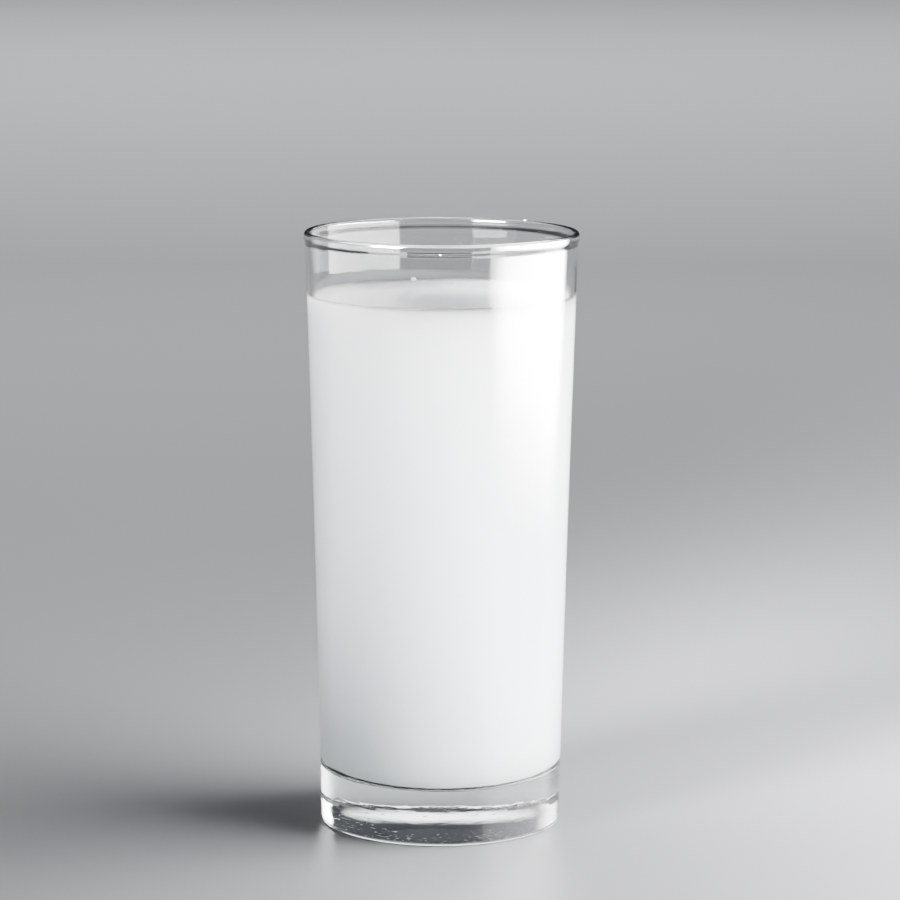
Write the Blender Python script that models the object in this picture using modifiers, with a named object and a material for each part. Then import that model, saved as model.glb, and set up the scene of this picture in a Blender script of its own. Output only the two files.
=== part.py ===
# A slim clear tumbler with a thick base, filled near its rim with clouded white raki.
# Metres, +Z up. The origin is the centre of the foot, on the surface that the glass stands on.

import math

import bpy

# The outside of the glass
GLASS_HEIGHT = 0.135
NECK_DEPTH = 0.0031          # how far below the top the rim's bead ends
NECK_RADIUS = 0.03065        # just under the bead
FOOT_RADIUS = 0.02727        # just above the heel
FLARE_SAG = 0.00024          # how far the wall bows in between foot and neck
HEEL_RADIUS = 0.0007
REST_RING_WIDTH = 0.0042
PUNT_DEPTH = 0.0009          # the underside's hollow, at its centre

# The rim's bead
BEAD_PROUD = 0.00030         # how far it stands out from the wall
BEAD_INSIDE = 0.00004        # and how far it stands in
BEAD_FULL_DEPTH = 0.0013     # it is thickest from here up

# The wall and the floor inside
NECK_WALL = 0.00115
FOOT_WALL = 0.0020
FLOOR_HEIGHT = 0.0117
FLOOR_CORNER = 0.0060        # the rounding between floor and wall

# The drink
CONTACT_HEIGHT = 0.1212      # where it meets the wall
LEVEL_HEIGHT = 0.1190        # its flat surface
MENISCUS_REACH = 0.0015      # the distance in which the rise at the wall falls to about a third
MENISCUS_WIDTH = 0.0058
FIT_GAP = 0.0003             # left between drink and glass

# How finely round shapes are divided
TURN_STEPS = 72
WALL_STEPS = 8
HEEL_STEPS = 4
CORNER_STEPS = 6
RIM_STEPS = 8
BEAD_STEPS = 3
PUNT_STEPS = 6
MENISCUS_STEPS = 6
MERGE_DISTANCE = 0.00001
SHARP_ANGLE = math.radians(40)

NECK_HEIGHT = GLASS_HEIGHT - NECK_DEPTH


def outer_radius(z):
    """The outer wall: a straight taper that bows in a little, so that it flares towards the rim."""
    t = (z - HEEL_RADIUS) / (NECK_HEIGHT - HEEL_RADIUS)
    return FOOT_RADIUS + (NECK_RADIUS - FOOT_RADIUS) * t - 4 * FLARE_SAG * t * (1 - t)


def wall_thickness(z):
    """Thin at the neck and thicker towards the floor."""
    t = min((z - FLOOR_HEIGHT) / (NECK_HEIGHT - FLOOR_HEIGHT), 1.0)
    return NECK_WALL + (FOOT_WALL - NECK_WALL) * (1 - t) ** 2


def inner_radius(z):
    return outer_radius(z) - wall_thickness(z)


def bead_swell(z):
    """1 where the bead is full, 0 under it."""
    depth = GLASS_HEIGHT - z
    fade = (depth - BEAD_FULL_DEPTH) / (NECK_DEPTH - BEAD_FULL_DEPTH)
    fade = min(max(fade, 0.0), 1.0)
    return 0.5 * (1 + math.cos(math.pi * fade))


def spread(start, end, steps):
    """Evenly spaced values from start to end, both included."""
    return [start + (end - start) * i / steps for i in range(steps + 1)]


def arc(center_r, center_z, radius, start, end, steps):
    """Profile points along an arc, with angles in degrees from +X towards +Z."""
    angles = [math.radians(a) for a in spread(start, end, steps)]
    return [(center_r + radius * math.cos(a), center_z + radius * math.sin(a)) for a in angles]


def floor_corner(gap):
    """The rounding from the floor up to the wall, moved in from the glass by the gap."""
    center_z = FLOOR_HEIGHT + FLOOR_CORNER
    center_r = inner_radius(center_z) - FLOOR_CORNER
    return arc(center_r, center_z, FLOOR_CORNER - gap, -90, 0, CORNER_STEPS)


def glass_profile():
    """From the middle of the floor up inside, over the rim, down the outside and in under the foot."""
    points = [(0.0, FLOOR_HEIGHT)]
    points += floor_corner(0.0)
    wall_start = FLOOR_HEIGHT + FLOOR_CORNER
    points += [(inner_radius(z), z) for z in spread(wall_start, NECK_HEIGHT, WALL_STEPS)[1:]]
    bead_top = GLASS_HEIGHT - BEAD_FULL_DEPTH
    bead_heights = spread(NECK_HEIGHT, bead_top, BEAD_STEPS)
    points += [(inner_radius(z) - BEAD_INSIDE * bead_swell(z), z) for z in bead_heights[1:-1]]

    inner_edge = inner_radius(bead_top) - BEAD_INSIDE
    outer_edge = outer_radius(bead_top) + BEAD_PROUD
    rim_radius = (outer_edge - inner_edge) / 2
    rim_center = (outer_edge + inner_edge) / 2
    points += [(inner_edge, bead_top)]
    points += arc(rim_center, GLASS_HEIGHT - rim_radius, rim_radius, 180, 0, RIM_STEPS)
    points += [(outer_edge, bead_top)]

    points += [(outer_radius(z) + BEAD_PROUD * bead_swell(z), z) for z in bead_heights[-2:0:-1]]
    points += [(outer_radius(z), z) for z in spread(NECK_HEIGHT, HEEL_RADIUS, WALL_STEPS)]
    ring_outer = FOOT_RADIUS - HEEL_RADIUS
    points += arc(ring_outer, HEEL_RADIUS, HEEL_RADIUS, 0, -90, HEEL_STEPS)[1:]
    ring_inner = ring_outer - REST_RING_WIDTH
    for t in spread(0, 1, PUNT_STEPS):
        points.append((ring_inner * (1 - t), PUNT_DEPTH * 0.5 * (1 - math.cos(math.pi * t))))
    return points


def meniscus_height(distance):
    """The surface's height at this distance from the drink's edge."""
    rise = math.exp(-distance / MENISCUS_REACH) - math.exp(-MENISCUS_WIDTH / MENISCUS_REACH)
    full_rise = 1 - math.exp(-MENISCUS_WIDTH / MENISCUS_REACH)
    return LEVEL_HEIGHT + (CONTACT_HEIGHT - LEVEL_HEIGHT) * rise / full_rise


def raki_profile():
    """From the middle of the surface out to the wall, down the wall and in along the floor."""
    edge = inner_radius(CONTACT_HEIGHT) - FIT_GAP
    distances = [MENISCUS_WIDTH * t * t for t in spread(1, 0, MENISCUS_STEPS)]
    points = [(0.0, LEVEL_HEIGHT)]
    points += [(edge - d, meniscus_height(d)) for d in distances]
    wall_end = FLOOR_HEIGHT + FLOOR_CORNER
    wall_heights = spread(CONTACT_HEIGHT, wall_end, WALL_STEPS)[1:-1]
    points += [(inner_radius(z) - FIT_GAP, z) for z in wall_heights]
    points += floor_corner(FIT_GAP)[::-1]
    return points + [(0.0, FLOOR_HEIGHT + FIT_GAP)]


def principled(name, color, roughness, transmission=0.0, ior=1.45):
    material = bpy.data.materials.new(name)
    material.use_nodes = True
    shader = material.node_tree.nodes["Principled BSDF"]
    shader.inputs["Base Color"].default_value = (*color, 1.0)
    shader.inputs["Metallic"].default_value = 0.0
    shader.inputs["Roughness"].default_value = roughness
    shader.inputs["Transmission Weight"].default_value = transmission
    shader.inputs["IOR"].default_value = ior
    return material


def turned(name, profile, material, collection):
    """A closed solid from a profile whose outer side runs top to bottom, shaded smooth."""
    mesh = bpy.data.meshes.new(name)
    edges = [(i, i + 1) for i in range(len(profile) - 1)]
    mesh.from_pydata([(r, 0.0, z) for r, z in profile], edges, [])
    obj = bpy.data.objects.new(name, mesh)
    collection.objects.link(obj)
    screw = obj.modifiers.new("Turn", "SCREW")
    screw.axis = "Z"
    screw.angle = 2 * math.pi
    screw.steps = TURN_STEPS
    screw.render_steps = TURN_STEPS
    screw.use_merge_vertices = True
    screw.merge_threshold = MERGE_DISTANCE

    graph = bpy.context.evaluated_depsgraph_get()
    solid = bpy.data.meshes.new_from_object(obj.evaluated_get(graph))
    obj.modifiers.clear()
    obj.data = solid
    solid.name = name
    solid.shade_smooth()
    solid.set_sharp_from_angle(angle=SHARP_ANGLE)
    solid.materials.append(material)
    bpy.data.meshes.remove(mesh)
    return obj


def clear_scene():
    for obj in list(bpy.data.objects):
        bpy.data.objects.remove(obj, do_unlink=True)


def main():
    clear_scene()
    collection = bpy.data.collections.new("glass_of_raki")
    bpy.context.scene.collection.children.link(collection)

    clear_glass = principled("clear_glass", (0.94, 0.97, 0.96), 0.02, transmission=1.0, ior=1.52)
    clouded_raki = principled("clouded_raki", (0.87, 0.88, 0.89), 0.12)

    origin = bpy.data.objects.new("glass_of_raki_origin", None)
    collection.objects.link(origin)
    glass = turned("glass", glass_profile(), clear_glass, collection)
    raki = turned("raki", raki_profile(), clouded_raki, collection)
    glass.parent = origin
    raki.parent = glass


main()
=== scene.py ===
import math
import random

import bpy
from mathutils import Matrix, Vector


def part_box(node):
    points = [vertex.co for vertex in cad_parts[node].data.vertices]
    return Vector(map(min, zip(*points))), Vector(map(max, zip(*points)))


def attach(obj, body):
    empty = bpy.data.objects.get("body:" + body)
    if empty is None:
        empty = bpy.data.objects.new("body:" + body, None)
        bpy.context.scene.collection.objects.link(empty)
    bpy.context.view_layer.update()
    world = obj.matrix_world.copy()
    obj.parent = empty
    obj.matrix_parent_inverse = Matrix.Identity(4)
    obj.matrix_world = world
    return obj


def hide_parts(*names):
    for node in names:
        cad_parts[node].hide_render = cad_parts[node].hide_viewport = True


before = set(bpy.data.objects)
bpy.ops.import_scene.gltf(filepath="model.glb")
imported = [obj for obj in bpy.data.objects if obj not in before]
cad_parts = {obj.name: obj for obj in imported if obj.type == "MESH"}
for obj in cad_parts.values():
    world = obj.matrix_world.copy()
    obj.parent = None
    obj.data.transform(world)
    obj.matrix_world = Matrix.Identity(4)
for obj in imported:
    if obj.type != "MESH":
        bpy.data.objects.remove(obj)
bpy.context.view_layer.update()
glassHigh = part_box("glass")[1]
rakiLow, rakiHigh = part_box("raki")
print("frame loaded:", ", ".join(sorted(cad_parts)))


# Small helpers for selecting, shaping and finishing a piece

def deselectAll():
    if bpy.context.object and bpy.context.object.mode != "OBJECT":
        bpy.ops.object.mode_set(mode="OBJECT")
    bpy.ops.object.select_all(action="DESELECT")


def makeActive(piece):
    deselectAll()
    piece.select_set(True)
    bpy.context.view_layer.objects.active = piece


def settle(piece):
    # put the piece's place, turn and size into its mesh
    makeActive(piece)
    bpy.ops.object.transform_apply(location=True, rotation=True, scale=True)


def joinPieces(pieces, name):
    deselectAll()
    for piece in pieces:
        piece.select_set(True)
    bpy.context.view_layer.objects.active = pieces[0]
    bpy.ops.object.join()
    joined = bpy.context.object
    joined.name = name
    joined.data.name = name
    return joined


def spread(start, end, steps):
    return [start + (end - start) * i / steps for i in range(steps + 1)]


def arcPoints(middle, radius, startAngle, endAngle, steps):
    # outline points (distance from the axis, height) along an arc, angles in degrees
    turned = [math.radians(angle) for angle in spread(startAngle, endAngle, steps)]
    return [(middle[0] + radius * math.cos(a), middle[1] + radius * math.sin(a)) for a in turned]


spinning = {
    "mergeDistance": 0.000004,   # closes the seam and the points on the axis
    "sharpAngle": 38,            # degrees: an edge that turns more stays sharp
    "startSize": 0.01,           # the plane that is merged to the outline's first point
}


def turnOutline(name, outline, steps):
    # draw the outline from one point, edge by edge, and spin it round the glass's axis
    deselectAll()
    bpy.ops.mesh.primitive_plane_add(size=spinning["startSize"], location=(0, 0, 0))
    piece = bpy.context.object
    piece.name = name
    piece.data.name = name
    bpy.ops.object.mode_set(mode="EDIT")
    bpy.ops.mesh.merge(type="CENTER")
    bpy.ops.transform.translate(value=(outline[0][0], 0, outline[0][1]))
    for (r0, z0), (r1, z1) in zip(outline, outline[1:]):
        bpy.ops.mesh.extrude_region_move(TRANSFORM_OT_translate={"value": (r1 - r0, 0, z1 - z0)})
    bpy.ops.mesh.select_all(action="SELECT")
    bpy.ops.mesh.spin(steps=steps, angle=2 * math.pi, center=(0, 0, 0), axis=(0, 0, 1))
    bpy.ops.mesh.select_all(action="SELECT")
    bpy.ops.mesh.remove_doubles(threshold=spinning["mergeDistance"])
    bpy.ops.mesh.normals_make_consistent(inside=False)
    bpy.ops.object.mode_set(mode="OBJECT")
    bpy.ops.object.shade_smooth_by_angle(angle=math.radians(spinning["sharpAngle"]))
    settle(piece)
    return piece


# Nodes for the materials

def newMaterial(name):
    material = bpy.data.materials.new(name)
    material.use_nodes = True
    tree = material.node_tree
    return material, tree, tree.nodes["Principled BSDF"]


def addNode(tree, kind, **values):
    node = tree.nodes.new(kind)
    for key, value in values.items():
        setattr(node, key, value)
    return node


def setInputs(node, values):
    for key, value in values.items():
        node.inputs[key].default_value = value


def heightMask(tree, low, high):
    # 0 below low and 1 above high, smoothly, in the piece's own coordinates
    place = addNode(tree, "ShaderNodeTexCoord")
    parts = addNode(tree, "ShaderNodeSeparateXYZ")
    ramp = addNode(tree, "ShaderNodeMapRange", interpolation_type="SMOOTHSTEP")
    setInputs(ramp, {"From Min": low, "From Max": high})
    tree.links.new(place.outputs["Object"], parts.inputs[0])
    tree.links.new(parts.outputs["Z"], ramp.inputs["Value"])
    return ramp.outputs["Result"]


def makeCloudGroup():
    # soft, slow unevenness between 0 and 1, shared by the drink, the glass and the floor
    group = bpy.data.node_groups.new("slowUnevenness", "ShaderNodeTree")
    face = group.interface
    face.new_socket(name="Size", in_out="INPUT", socket_type="NodeSocketFloat")
    face.new_socket(name="Detail", in_out="INPUT", socket_type="NodeSocketFloat")
    face.new_socket(name="Value", in_out="OUTPUT", socket_type="NodeSocketFloat")
    inside = addNode(group, "NodeGroupInput")
    outside = addNode(group, "NodeGroupOutput")
    place = addNode(group, "ShaderNodeTexCoord")
    noise = addNode(group, "ShaderNodeTexNoise")
    perMetre = addNode(group, "ShaderNodeMath", operation="DIVIDE")
    perMetre.inputs[0].default_value = 1.0
    group.links.new(inside.outputs["Size"], perMetre.inputs[1])
    group.links.new(perMetre.outputs[0], noise.inputs["Scale"])
    group.links.new(inside.outputs["Detail"], noise.inputs["Detail"])
    group.links.new(place.outputs["Object"], noise.inputs["Vector"])
    group.links.new(noise.outputs["Fac"], outside.inputs["Value"])
    return group


cloudGroup = makeCloudGroup()


def addCloud(tree, size, detail):
    node = addNode(tree, "ShaderNodeGroup", node_tree=cloudGroup)
    setInputs(node, {"Size": size, "Detail": detail})
    return node.outputs["Value"]


def blendValue(tree, factor, low, high):
    node = addNode(tree, "ShaderNodeMapRange")
    setInputs(node, {"To Min": low, "To Max": high})
    tree.links.new(factor, node.inputs["Value"])
    return node.outputs["Result"]


def blendColor(tree, factor, first, second):
    node = addNode(tree, "ShaderNodeMix", data_type="RGBA")
    node.inputs["A"].default_value = (*first, 1)
    node.inputs["B"].default_value = (*second, 1)
    tree.links.new(factor, node.inputs["Factor"])
    return node.outputs["Result"]


def addBump(tree, shader, height, strength, distance):
    bump = addNode(tree, "ShaderNodeBump")
    setInputs(bump, {"Strength": strength, "Distance": distance})
    tree.links.new(height, bump.inputs["Height"])
    tree.links.new(bump.outputs["Normal"], shader.inputs["Normal"])


# The camera, where the photograph's perspective puts it
cameraSetup = {
    "place": (0.0020, -0.8330, 0.2216),
    "downwardTilt": 9.30,
    "roll": 0.18,
    "lens": 149.2,
    "sensorWidth": 36.0,
}


def addCamera(setup):
    deselectAll()
    bpy.ops.object.camera_add(location=setup["place"])
    camera = bpy.context.object
    camera.name = "viewCamera"
    camera.data.lens = setup["lens"]
    camera.data.sensor_width = setup["sensorWidth"]
    lookDown = Matrix.Rotation(math.radians(90 - setup["downwardTilt"]), 4, "X")
    lean = Matrix.Rotation(math.radians(setup["roll"]), 4, "Z")
    camera.matrix_world = Matrix.Translation(setup["place"]) @ lookDown @ lean
    bpy.context.scene.camera = camera


addCamera(cameraSetup)
print("camera placed")


# Floor, light and surroundings
studio = {
    "floorSize": 12.0,
    "floorColor": (0.054, 0.055, 0.057),
    "floorRoughness": 0.45,
    "floorShine": 0.35,
    "floorCloudSize": 0.30,
    "floorCloudDark": 0.96,
    "lowSurround": (0.30, 0.30, 0.31),
    "highSurround": (0.06, 0.062, 0.07),
    "surroundEdge": (0.02, 0.06),         # sine of the angle above the floor
    "exposure": 0.25,
}

# Each panel's place, aim, width and height in metres, and how far in from its edges it fades.
# The cards are seen only through the glass, and the washes light the floor round it.
lamps = {
    "keyPanel": {"place": (0.25, -0.055, 0.14), "aim": (0, -0.055, 0.14), "size": (0.52, 0.26),
                 "radiance": 155, "softEdge": (0.30, 0.46), "spread": 180},
    "fillPanel": {"place": (-0.20, -0.20, 0.195), "aim": (0, 0, 0.164), "size": (0.18, 0.12),
                  "radiance": 440, "softEdge": (0.3, 0.3), "spread": 48},
    "backCard": {"place": (0, 0.10, 0.004), "aim": (0, 0, 0.004), "size": (0.15, 0.054),
                 "radiance": 2.5, "softEdge": (0.15, 0.5), "spread": 180, "onlyThroughGlass": True},
    "leftCard": {"place": (-0.088, 0.066, 0.030), "aim": (0, 0, 0.030), "size": (0.09, 0.064),
                 "radiance": 3.5, "softEdge": (0.45, 0.4), "spread": 180, "onlyThroughGlass": True},
    "shadowWash": {"place": (-0.06, 0, 0.40), "aim": (-1.0, 0.1, 0.19), "size": (0.3, 0.1),
                   "radiance": 90, "softEdge": (0.1, 0.1), "spread": 180},
    "nearWash": {"place": (0, 0.15, 1.6), "aim": (0, 2.15, 1.37), "size": (1.2, 0.7),
                 "radiance": 215, "softEdge": (0.1, 0.1), "spread": 180},
    "farWash": {"place": (0, 2.0, 3.0), "aim": (0, 4.4, 2.3), "size": (2.6, 1.4),
                "radiance": 165, "softEdge": (0.1, 0.1), "spread": 180},
}


def addFloor(look):
    deselectAll()
    bpy.ops.mesh.primitive_plane_add(size=look["floorSize"], location=(0, 0, 0))
    floor = bpy.context.object
    floor.name = "studioFloor"
    material, tree, shader = newMaterial("paleFloor")
    cloud = addCloud(tree, look["floorCloudSize"], 3)
    pale = look["floorColor"]
    darker = tuple(c * look["floorCloudDark"] for c in pale)
    tree.links.new(blendColor(tree, cloud, darker, pale), shader.inputs["Base Color"])
    setInputs(shader, {"Roughness": look["floorRoughness"], "Specular IOR Level": look["floorShine"]})
    floor.data.materials.append(material)


def fadeTowardEdge(tree, position, fade):
    # 1 over the middle of the panel, falling to 0 at both ends of one direction
    fromMiddle = addNode(tree, "ShaderNodeMath", operation="SUBTRACT")
    fromMiddle.inputs[1].default_value = 0.5
    distance = addNode(tree, "ShaderNodeMath", operation="ABSOLUTE")
    mask = addNode(tree, "ShaderNodeMapRange", interpolation_type="SMOOTHSTEP")
    setInputs(mask, {"From Min": 0.5 - fade, "From Max": 0.5, "To Min": 1.0, "To Max": 0.0})
    tree.links.new(position, fromMiddle.inputs[0])
    tree.links.new(fromMiddle.outputs[0], distance.inputs[0])
    tree.links.new(distance.outputs[0], mask.inputs["Value"])
    return mask.outputs["Result"]


def softenPanel(lamp, softEdge):
    lamp.use_nodes = True
    tree = lamp.node_tree
    place = addNode(tree, "ShaderNodeNewGeometry")
    parts = addNode(tree, "ShaderNodeSeparateXYZ")
    both = addNode(tree, "ShaderNodeMath", operation="MULTIPLY")
    tree.links.new(place.outputs["Parametric"], parts.inputs[0])
    tree.links.new(fadeTowardEdge(tree, parts.outputs["X"], softEdge[0]), both.inputs[0])
    tree.links.new(fadeTowardEdge(tree, parts.outputs["Y"], softEdge[1]), both.inputs[1])
    tree.links.new(both.outputs[0], tree.nodes["Emission"].inputs["Strength"])


def addLamp(name, setup):
    deselectAll()
    bpy.ops.object.light_add(type="AREA", location=setup["place"])
    lamp = bpy.context.object
    lamp.name = name
    width, height = setup["size"]
    lamp.data.shape = "RECTANGLE"
    lamp.data.size = width
    lamp.data.size_y = height
    lamp.data.energy = setup["radiance"] * math.pi * width * height
    toward = Vector(setup["aim"]) - Vector(setup["place"])
    lamp.rotation_euler = toward.to_track_quat("-Z", "Y").to_euler()
    lamp.data.spread = math.radians(setup["spread"])
    lamp.visible_camera = False
    if setup.get("onlyThroughGlass"):
        lamp.visible_diffuse = False
        lamp.visible_glossy = False
    softenPanel(lamp.data, setup["softEdge"])


def addSurround(look):
    world = bpy.data.worlds.new("softSurround")
    bpy.context.scene.world = world
    world.use_nodes = True
    tree = world.node_tree
    background = tree.nodes["Background"]
    direction = addNode(tree, "ShaderNodeTexCoord")
    parts = addNode(tree, "ShaderNodeSeparateXYZ")
    tree.links.new(direction.outputs["Generated"], parts.inputs[0])
    height = addNode(tree, "ShaderNodeMapRange", interpolation_type="SMOOTHSTEP")
    low, high = look["surroundEdge"]
    setInputs(height, {"From Min": low, "From Max": high})
    tree.links.new(parts.outputs["Z"], height.inputs["Value"])
    tone = blendColor(tree, height.outputs["Result"], look["lowSurround"], look["highSurround"])
    tree.links.new(tone, background.inputs["Color"])


addFloor(studio)
for lampName, lampSetup in lamps.items():
    addLamp(lampName, lampSetup)
addSurround(studio)
bpy.context.scene.view_settings.view_transform = "AgX"
bpy.context.scene.view_settings.look = "AgX - Medium High Contrast"
bpy.context.scene.view_settings.exposure = studio["exposure"]
print("floor and light set")


# The tumbler
tumbler = {
    "neckDepth": 0.0031,    # how far below the top the rim's bead ends
    "neckRadius": 0.03065,
    "footRadius": 0.02727,
    "flareSag": 0.00024,    # how far the wall bows in between foot and neck
    "heelRadius": 0.0007,
    "restRing": 0.0042,     # width of the flat ring that it stands on
    "puntDepth": 0.0009,    # the underside's hollow, at its centre
    "beadProud": 0.0003,    # how far the rim's bead stands out from the wall
    "beadInside": 0.00004,  # and how far it stands in
    "beadFullDepth": 0.0013,
    "neckWall": 0.00115,
    "footWall": 0.0020,
    "floorCorner": 0.0060,
    "fitGap": 0.0003,       # what the solids leave between drink and glass
    "floorFlat": 0.008,     # the floor's first ring of points
    "turnSteps": 180,
    "wallSteps": 24,
    "cornerSteps": 20,
    "rimSteps": 24,
    "beadSteps": 8,
    "heelSteps": 12,
    "puntSteps": 20,
    "ior": 1.52,
    "upperTint": (0.985, 0.992, 0.990),
    "baseTint": (0.945, 0.975, 0.962),
    "tintFade": (-0.002, 0.012),   # from the base's tint to the wall's, from the floor's height
    "smearSize": 0.012,
    "smearRoughness": (0.0, 0.03),
    "reamSize": 0.009,      # the wall's slow unevenness
    "reamBump": (0.12, 0.0004),
    "streakFlatness": 5.0,  # in the thick base it lies in level streaks
    "scuffTop": 0.0006,     # the worn part of the underside ends here
    "scuffFade": 0.0002,
    "scuffSize": 0.0011,
    "scuffLevels": (0.59, 0.67),   # the noise becomes a scratch between these levels
    "scuffRoughness": 0.45,
}
topHeight = glassHigh.z
neckHeight = topHeight - tumbler["neckDepth"]
floorHeight = rakiLow.z - tumbler["fitGap"]


def outerRadius(z):
    t = (z - tumbler["heelRadius"]) / (neckHeight - tumbler["heelRadius"])
    taper = tumbler["neckRadius"] - tumbler["footRadius"]
    bow = 4 * tumbler["flareSag"] * t * (1 - t)
    return tumbler["footRadius"] + taper * t - bow


def innerRadius(z):
    t = min((z - floorHeight) / (neckHeight - floorHeight), 1.0)
    wall = tumbler["neckWall"] + (tumbler["footWall"] - tumbler["neckWall"]) * (1 - t) ** 2
    return outerRadius(z) - wall


def beadSwell(z):
    # 1 where the bead is full, 0 under it
    full = tumbler["beadFullDepth"]
    fade = min(max((topHeight - z - full) / (tumbler["neckDepth"] - full), 0.0), 1.0)
    return 0.5 * (1 + math.cos(math.pi * fade))


def floorCornerPoints(grow):
    # the rounding from the floor up to the wall, grown into the glass
    radius = tumbler["floorCorner"]
    middleHeight = floorHeight + radius
    middle = (innerRadius(middleHeight) - radius, middleHeight)
    return arcPoints(middle, radius + grow, -90, 0, tumbler["cornerSteps"])


def rimOutline():
    # up the bead's inside, over the rim and down its outside
    beadTop = topHeight - tumbler["beadFullDepth"]
    heights = spread(neckHeight, beadTop, tumbler["beadSteps"])
    inside = [(innerRadius(z) - tumbler["beadInside"] * beadSwell(z), z) for z in heights[1:]]
    outside = [(outerRadius(z) + tumbler["beadProud"] * beadSwell(z), z) for z in heights[:0:-1]]
    innerEdge = inside[-1][0]
    outerEdge = outside[0][0]
    rimRadius = (outerEdge - innerEdge) / 2
    rimMiddle = ((outerEdge + innerEdge) / 2, topHeight - rimRadius)
    return inside + arcPoints(rimMiddle, rimRadius, 180, 0, tumbler["rimSteps"]) + outside


def undersideOutline():
    # round the heel, across the flat ring and up into the hollow
    heel = tumbler["heelRadius"]
    ringOuter = tumbler["footRadius"] - heel
    ringInner = ringOuter - tumbler["restRing"]
    points = arcPoints((ringOuter, heel), heel, 0, -90, tumbler["heelSteps"])[1:]
    for t in spread(0, 1, tumbler["puntSteps"]):
        rise = 0.5 * (1 - math.cos(math.pi * t))
        points.append((ringInner * (1 - t), tumbler["puntDepth"] * rise))
    return points


def tumblerOutline():
    # from the middle of the floor up inside, over the rim, down outside and in under the foot
    cornerTop = floorHeight + tumbler["floorCorner"]
    inside = spread(cornerTop, neckHeight, tumbler["wallSteps"])[1:]
    outside = spread(neckHeight, tumbler["heelRadius"], tumbler["wallSteps"])
    points = [(0.0, floorHeight), (tumbler["floorFlat"], floorHeight)]
    points += floorCornerPoints(0.0)
    points += [(innerRadius(z), z) for z in inside]
    points += rimOutline()
    points += [(outerRadius(z), z) for z in outside]
    return points + undersideOutline()


def addStreaks(tree, size, flatness):
    # unevenness drawn out level, as it is in a thick pressed base
    place = addNode(tree, "ShaderNodeTexCoord")
    flatten = addNode(tree, "ShaderNodeMapping")
    setInputs(flatten, {"Scale": (1, 1, flatness)})
    noise = addNode(tree, "ShaderNodeTexNoise")
    setInputs(noise, {"Scale": 1 / size, "Detail": 2})
    tree.links.new(place.outputs["Object"], flatten.inputs["Vector"])
    tree.links.new(flatten.outputs["Vector"], noise.inputs["Vector"])
    return noise.outputs["Fac"]


def addScuffs(tree):
    # 1 in the fine scratches that use leaves on the underside, else 0
    grain = addCloud(tree, tumbler["scuffSize"], 6)
    worn = addNode(tree, "ShaderNodeMapRange", interpolation_type="SMOOTHSTEP")
    low, high = tumbler["scuffLevels"]
    setInputs(worn, {"From Min": low, "From Max": high})
    tree.links.new(grain, worn.inputs["Value"])
    clean = heightMask(tree, tumbler["scuffTop"] - tumbler["scuffFade"], tumbler["scuffTop"])
    under = addNode(tree, "ShaderNodeMath", operation="SUBTRACT")
    under.inputs[0].default_value = 1.0
    both = addNode(tree, "ShaderNodeMath", operation="MULTIPLY")
    tree.links.new(clean, under.inputs[1])
    tree.links.new(worn.outputs["Result"], both.inputs[0])
    tree.links.new(under.outputs[0], both.inputs[1])
    return both.outputs[0]


def makeGlassMaterial():
    material, tree, shader = newMaterial("clearGlass")
    setInputs(shader, {"IOR": tumbler["ior"], "Transmission Weight": 1.0, "Metallic": 0.0})
    low, high = tumbler["tintFade"]
    aboveBase = heightMask(tree, floorHeight + low, floorHeight + high)
    tint = blendColor(tree, aboveBase, tumbler["baseTint"], tumbler["upperTint"])
    tree.links.new(tint, shader.inputs["Base Color"])
    smears = blendValue(tree, addCloud(tree, tumbler["smearSize"], 4), *tumbler["smearRoughness"])
    scuffed = addNode(tree, "ShaderNodeMath", operation="MULTIPLY_ADD")
    scuffed.inputs[1].default_value = tumbler["scuffRoughness"]
    tree.links.new(addScuffs(tree), scuffed.inputs[0])
    tree.links.new(smears, scuffed.inputs[2])
    tree.links.new(scuffed.outputs[0], shader.inputs["Roughness"])

    ream = addNode(tree, "ShaderNodeMix", data_type="FLOAT")
    tree.links.new(aboveBase, ream.inputs["Factor"])
    streaks = addStreaks(tree, tumbler["reamSize"], tumbler["streakFlatness"])
    tree.links.new(streaks, ream.inputs["A"])
    tree.links.new(addCloud(tree, tumbler["reamSize"], 1), ream.inputs["B"])
    addBump(tree, shader, ream.outputs["Result"], *tumbler["reamBump"])
    return material


def makeTumbler():
    piece = turnOutline("clearTumbler", tumblerOutline(), tumbler["turnSteps"])
    piece.data.materials.append(makeGlassMaterial())
    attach(piece, "root")
    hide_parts("glass")


makeTumbler()
print("tumbler made")


# The drink: clouded raki up to its level, with the raised edge at the wall
drink = {
    "levelHeight": 0.1190,
    "levelFlat": 0.012,     # the flat surface's first ring of points
    "meniscusReach": 0.0015,     # the distance in which the rise at the wall falls to about a third
    "meniscusWidth": 0.0058,
    "intoWall": 0.00015,    # it reaches just into the glass, so that no air gap shows
    "turnSteps": 180,
    "wallSteps": 30,
    "meniscusSteps": 24,
    "bodyColor": (0.908, 0.932, 0.956),
    # painted shade: a darker colour at the floor stands in for the light falling off lower in the drink
    "paintedLowerShade": (0.850, 0.875, 0.900),
    "surfaceColor": (0.915, 0.935, 0.96),
    "filmDepth": 0.0009,    # the raised edge thins out to a clear film in its uppermost part
    "wallGlance": 1.34 / 1.52,   # how the drink bends light that comes out of the glass
    "glanceRoughness": 0.02,
    "cloudSize": 0.022,
    "cloudTint": (0.975, 0.978, 0.98),
    "rippleDepth": 0.0003,
    "milkyBody": {"Roughness": 0.55, "Specular IOR Level": 0.0},
    "bodyRipple": (0.010, 0.02),     # size and strength
    "wetSurface": {"Roughness": 0.04, "IOR": 1.34, "Specular IOR Level": 0.16},
    "surfaceRipple": (0.012, 0.10),
    "surfaceSlack": 0.0001,     # faces this little under the level still belong to the surface
    "surfaceTilt": 0.1,         # and look up at least this much
    "softLight": {"Subsurface Weight": 1.0, "Subsurface Scale": 0.018,
                  "Subsurface Radius": (1.0, 1.0, 1.1)},
}
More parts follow.
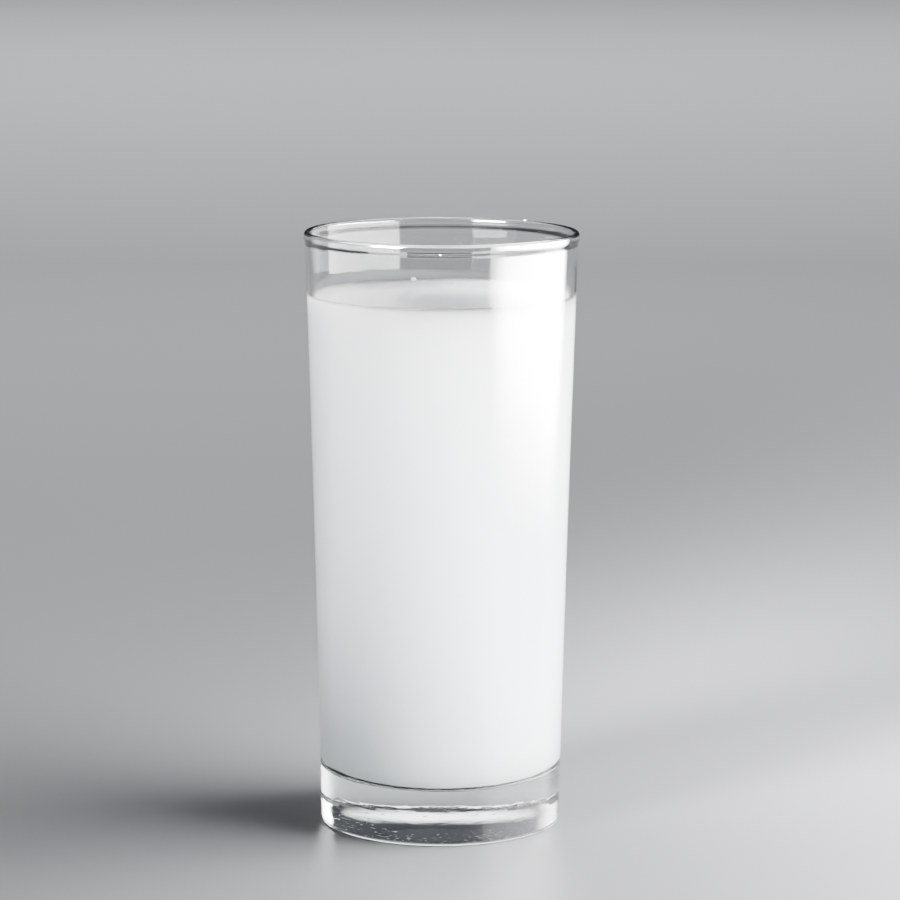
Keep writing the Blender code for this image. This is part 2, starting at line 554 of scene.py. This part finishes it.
contactHeight = rakiHigh.z


def meniscusHeight(distance):
    far = math.exp(-drink["meniscusWidth"] / drink["meniscusReach"])
    rise = (math.exp(-distance / drink["meniscusReach"]) - far) / (1 - far)
    return drink["levelHeight"] + (contactHeight - drink["levelHeight"]) * rise


def drinkOutline():
    edge = innerRadius(contactHeight)
    points = [(0.0, drink["levelHeight"]), (drink["levelFlat"], drink["levelHeight"])]
    distances = [drink["meniscusWidth"] * t * t for t in spread(1, 0, drink["meniscusSteps"])]
    points += [(edge - d, meniscusHeight(d)) for d in distances]
    cornerTop = floorHeight + tumbler["floorCorner"]
    heights = spread(contactHeight, cornerTop, drink["wallSteps"])[:-1]
    points += [(innerRadius(z) + drink["intoWall"], z) for z in heights]
    points += floorCornerPoints(drink["intoWall"])[::-1]
    return points + [(0.0, floorHeight - drink["intoWall"])]


def addGlance(tree, shader, bending):
    # light that meets the drink at a glancing angle inside the glass is thrown back whole
    share = addNode(tree, "ShaderNodeFresnel")
    setInputs(share, {"IOR": bending})
    mirror = addNode(tree, "ShaderNodeBsdfGlossy")
    setInputs(mirror, {"Roughness": drink["glanceRoughness"]})
    mix = addNode(tree, "ShaderNodeMixShader")
    tree.links.new(share.outputs["Fac"], mix.inputs[0])
    tree.links.new(shader.outputs["BSDF"], mix.inputs[1])
    tree.links.new(mirror.outputs["BSDF"], mix.inputs[2])
    tree.links.new(mix.outputs[0], tree.nodes["Material Output"].inputs["Surface"])


def filmCover(tree):
    # 0 where the film on the wall ends, 1 where it is thick enough to be white
    place = addNode(tree, "ShaderNodeTexCoord")
    parts = addNode(tree, "ShaderNodeSeparateXYZ")
    below = addNode(tree, "ShaderNodeMapRange")
    setInputs(below, {"From Min": contactHeight, "From Max": contactHeight - drink["filmDepth"]})
    tree.links.new(place.outputs["Object"], parts.inputs[0])
    tree.links.new(parts.outputs["Z"], below.inputs["Value"])
    return below.outputs["Result"]


def makeDrinkMaterial(name, topColor, ripple):
    material, tree, shader = newMaterial(name)
    setInputs(shader, drink[name])
    setInputs(shader, drink["softLight"])
    # painted shade: the colour goes from the darker painted shade at the floor up to the top colour at the
    # edge's height
    paintedShadeFade = heightMask(tree, floorHeight, contactHeight)
    tone = blendColor(tree, paintedShadeFade, drink["paintedLowerShade"], topColor)
    cloud = addCloud(tree, drink["cloudSize"], 3)
    swirl = addNode(tree, "ShaderNodeMix", data_type="RGBA", blend_type="MULTIPLY")
    swirl.inputs["Factor"].default_value = 1.0
    tree.links.new(tone, swirl.inputs["A"])
    tree.links.new(blendColor(tree, cloud, drink["cloudTint"], (1, 1, 1)), swirl.inputs["B"])
    tree.links.new(swirl.outputs["Result"], shader.inputs["Base Color"])
    tree.links.new(filmCover(tree), shader.inputs["Alpha"])
    size, strength = ripple
    addBump(tree, shader, addCloud(tree, size, 2), strength, drink["rippleDepth"])
    if name == "milkyBody":
        addGlance(tree, shader, drink["wallGlance"])
    return material


def isOnSurface(face):
    edge = innerRadius(contactHeight) + drink["intoWall"] / 2
    onTop = face.center.z > drink["levelHeight"] - drink["surfaceSlack"]
    insideWall = math.hypot(face.center.x, face.center.y) < edge
    return onTop and insideWall and face.normal.z > drink["surfaceTilt"]


def makeDrink():
    piece = turnOutline("cloudedRaki", drinkOutline(), drink["turnSteps"])
    body = makeDrinkMaterial("milkyBody", drink["bodyColor"], drink["bodyRipple"])
    surface = makeDrinkMaterial("wetSurface", drink["surfaceColor"], drink["surfaceRipple"])
    piece.data.materials.append(body)
    piece.data.materials.append(surface)
    for face in piece.data.polygons:
        if isOnSurface(face):
            face.material_index = 1
    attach(piece, "root")
    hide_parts("raki")


makeDrink()
print("drink made")


# Bubbles at the drink's edge, against the back of the glass, and a few specks of drink on the rim; their
# near-white skin is partly the drink's milky colour and partly painted highlight
bubbles = {
    "seed": 5,
    "largest": {"place": (-0.00665, 0.0275, 0.1210), "radius": 0.00065},
    "smallCount": 11,
    "smallRadius": (0.00012, 0.00024),
    "smallInset": (0.0003, 0.0012),    # gap between bubble and wall
    "spreadAngle": (74, 112),          # degrees round the edge, from +X
    "ballSegments": 24,
    "ballRings": 14,
    "domeShare": 0.45,      # how much of the ball's lower half is kept, in radii
    "filmThickness": 0.00004,
    "filmShare": 0.2,       # the film is at most this part of the radius
    "ior": 1.34,
    "clearness": 0.15,
    "roughness": (0.05, 0.12),
    "roughSize": 0.0004,
    # the skin's near-white colour: the drink's milky colour and a painted highlight
    "tints": ((0.93, 0.95, 0.96), (1, 1, 1)),
    "tintSize": 0.0005,
    "glintDropShape": (1.3, 1.0, 0.8),
    # painted glints: white specks of drink set on the rim, so that they show as its small bright glints
    "glintDrops": [           # place and radius
        ((0.0191, 0.0237, 0.1350), 0.00016),
        ((0.0240, 0.0186, 0.1349), 0.00014),
        ((0.0083, 0.0294, 0.1349), 0.00011),
        ((-0.0002, -0.0308, 0.1329), 0.00014),
    ],
}


def makeBubble(place, radius):
    # a dome: the upper part of a ball, hollowed to a thin skin
    deselectAll()
    bpy.ops.mesh.primitive_uv_sphere_add(segments=bubbles["ballSegments"], ring_count=bubbles["ballRings"],
                                         radius=radius, location=place)
    piece = bpy.context.object
    bpy.ops.object.mode_set(mode="EDIT")
    bpy.ops.mesh.select_all(action="SELECT")
    cut = (place[0], place[1], place[2] - radius * bubbles["domeShare"])
    bpy.ops.mesh.bisect(plane_co=cut, plane_no=(0, 0, 1), clear_inner=True)
    bpy.ops.object.mode_set(mode="OBJECT")
    skin = piece.modifiers.new("skin", "SOLIDIFY")
    skin.thickness = min(bubbles["filmThickness"], radius * bubbles["filmShare"])
    bpy.ops.object.modifier_apply(modifier=skin.name)
    bpy.ops.object.shade_smooth()
    return piece


def makeGlintDrop(place, radius):
    deselectAll()
    bpy.ops.mesh.primitive_ico_sphere_add(subdivisions=3, radius=radius, location=place)
    bpy.ops.transform.resize(value=bubbles["glintDropShape"])
    bpy.ops.object.shade_smooth()
    return bpy.context.object


def makeBubbleMaterial():
    material, tree, shader = newMaterial("milkySkinAndHighlight")
    setInputs(shader, {"IOR": bubbles["ior"], "Transmission Weight": bubbles["clearness"], "Metallic": 0.0})
    polish = blendValue(tree, addCloud(tree, bubbles["roughSize"], 2), *bubbles["roughness"])
    tree.links.new(polish, shader.inputs["Roughness"])
    # painted highlight: a near-white, mostly opaque skin, partly the drink's milky colour, shows the
    # bubbles and rim specks as bright dots
    tint = blendColor(tree, addCloud(tree, bubbles["tintSize"], 2), *bubbles["tints"])
    tree.links.new(tint, shader.inputs["Base Color"])
    return material


def makeBubbles():
    random.seed(bubbles["seed"])
    largest = bubbles["largest"]
    made = [makeBubble(largest["place"], largest["radius"])]
    edge = innerRadius(contactHeight)
    for _ in range(bubbles["smallCount"]):
        angle = math.radians(random.uniform(*bubbles["spreadAngle"]))
        radius = random.uniform(*bubbles["smallRadius"])
        inset = random.uniform(*bubbles["smallInset"])
        distance = edge - inset - radius
        place = (distance * math.cos(angle), distance * math.sin(angle), meniscusHeight(inset + radius))
        made.append(makeBubble(place, radius))
    for place, radius in bubbles["glintDrops"]:
        made.append(makeGlintDrop(place, radius))
    piece = joinPieces(made, "edgeBubbles")
    settle(piece)
    piece.data.materials.append(makeBubbleMaterial())
    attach(piece, "root")


makeBubbles()
print("bubbles made")


# Seeds: specks of gas caught in the thick base
seeds = {
    "places": [
        (0.0079, -0.0210, 0.0078),
        (0.0104, -0.0185, 0.0066),
        (0.0150, -0.0170, 0.0089),
        (0.0132, -0.0150, 0.0060),
        (0.0046, -0.0205, 0.0052),
        (0.0175, -0.0120, 0.0050),
    ],
    "radius": 0.00011,
    "radiusChange": 0.25,   # how much the specks differ in size
    "radiusTurn": 2.1,      # and how fast that goes round from one speck to the next
    "shape": (1.0, 1.0, 1.35),
    "metallic": 0.9,
    "cloudSize": 0.0003,
    "tints": ((0.80, 0.82, 0.83), (0.9, 0.92, 0.93)),
    "roughness": (0.08, 0.2),
}


def makeSeedMaterial():
    material, tree, shader = newMaterial("seedShine")
    setInputs(shader, {"Metallic": seeds["metallic"]})
    cloud = addCloud(tree, seeds["cloudSize"], 1)
    tree.links.new(blendColor(tree, cloud, *seeds["tints"]), shader.inputs["Base Color"])
    tree.links.new(blendValue(tree, cloud, *seeds["roughness"]), shader.inputs["Roughness"])
    return material


def makeSeeds():
    made = []
    for number, place in enumerate(seeds["places"]):
        deselectAll()
        size = seeds["radius"] * (1 + seeds["radiusChange"] * math.sin(number * seeds["radiusTurn"]))
        bpy.ops.mesh.primitive_ico_sphere_add(subdivisions=3, radius=size, location=place)
        bpy.ops.transform.resize(value=seeds["shape"])
        bpy.ops.object.shade_smooth()
        made.append(bpy.context.object)
    piece = joinPieces(made, "glassSeeds")
    settle(piece)
    piece.data.materials.append(makeSeedMaterial())
    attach(piece, "root")


makeSeeds()
print("seeds made")
